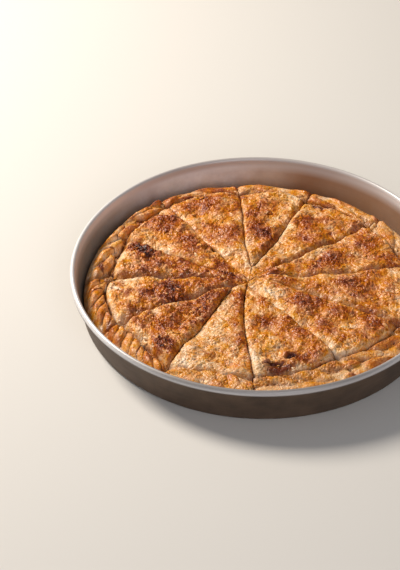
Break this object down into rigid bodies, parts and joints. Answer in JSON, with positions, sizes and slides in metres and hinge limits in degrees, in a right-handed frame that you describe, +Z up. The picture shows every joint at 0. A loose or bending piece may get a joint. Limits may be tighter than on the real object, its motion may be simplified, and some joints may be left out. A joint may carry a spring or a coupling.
{
  "type": "eggplant borek in a round tray",
  "caption": "Round baked filo pie with a crimped edge, cut into wedges and lying whole in its shallow round aluminium tray with a rolled rim.",
  "frame": {"origin": "centre of the tray's flat base, at the level it stands on", "axes": "+Z up; the picture looks along +Y, with +X to the right"},
  "size_m": [0.38, 0.38, 0.0459],
  "materials": {
    "aluminium": "satin, worn",
    "pastry": "baked, buttered"
  },
  "bodies": {
    "root": {"tray": "aluminium", "wedge_01": "pastry", "wedge_02": "pastry", "wedge_03": "pastry", "wedge_04": "pastry", "wedge_05": "pastry", "wedge_06": "pastry", "wedge_07": "pastry", "wedge_08": "pastry", "wedge_09": "pastry", "wedge_10": "pastry", "wedge_11": "pastry", "wedge_12": "pastry"}
  },
  "joints": []
}
